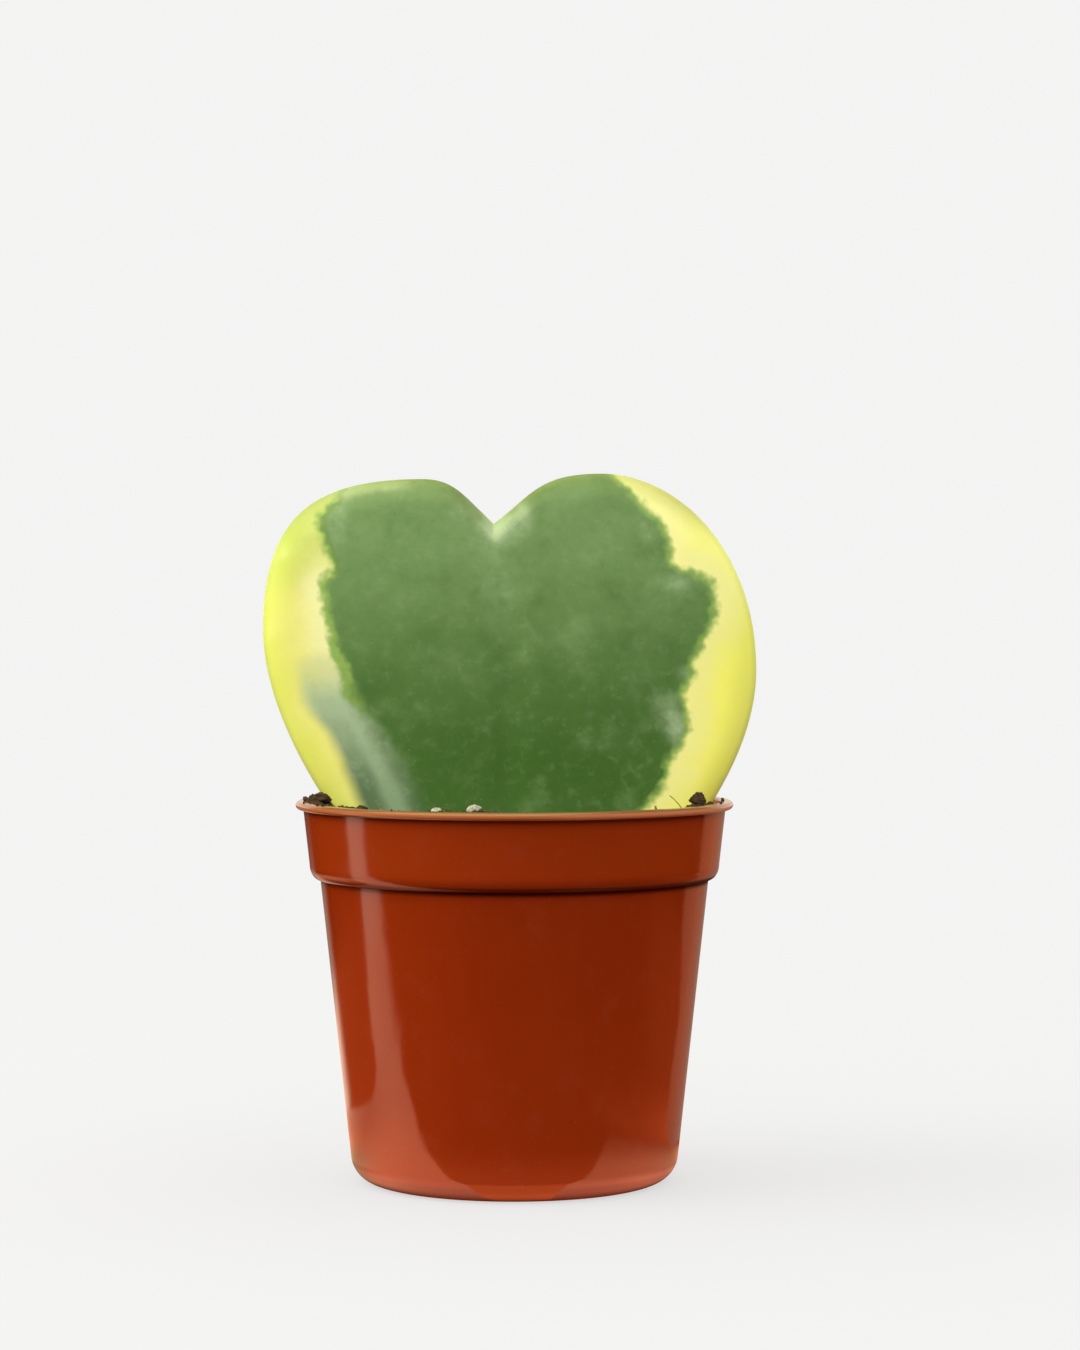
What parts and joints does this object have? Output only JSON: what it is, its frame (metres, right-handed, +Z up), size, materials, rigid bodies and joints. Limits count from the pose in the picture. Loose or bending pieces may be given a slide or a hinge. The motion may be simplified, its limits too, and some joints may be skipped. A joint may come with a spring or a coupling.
{
  "type": "potted hoya plant",
  "caption": "Heart-shaped variegated succulent leaf standing upright in compost in a small round plastic nursery pot with a stepped rim.",
  "frame": {"origin": "centre of the pot's underside, on the pot's axis", "axes": "+Z up along the pot's axis, -Y out of the leaf's front face, +X to the right of that face as it is seen"},
  "size_m": [0.0682, 0.06, 0.0971],
  "materials": {
    "leaf": "satin",
    "compost": "matte",
    "pot": "gloss",
    "perlite": "matte",
    "bark": "matte"
  },
  "bodies": {
    "root": {"leaf": "leaf", "compost": "compost", "pot": "pot", "perlite_grain_1": "perlite", "perlite_grain_2": "perlite", "perlite_grain_3": "perlite", "perlite_grain_4": "perlite", "perlite_grain_5": "perlite", "bark_chip_1": "bark", "bark_chip_2": "bark", "bark_chip_3": "bark", "bark_chip_4": "bark"}
  },
  "joints": []
}
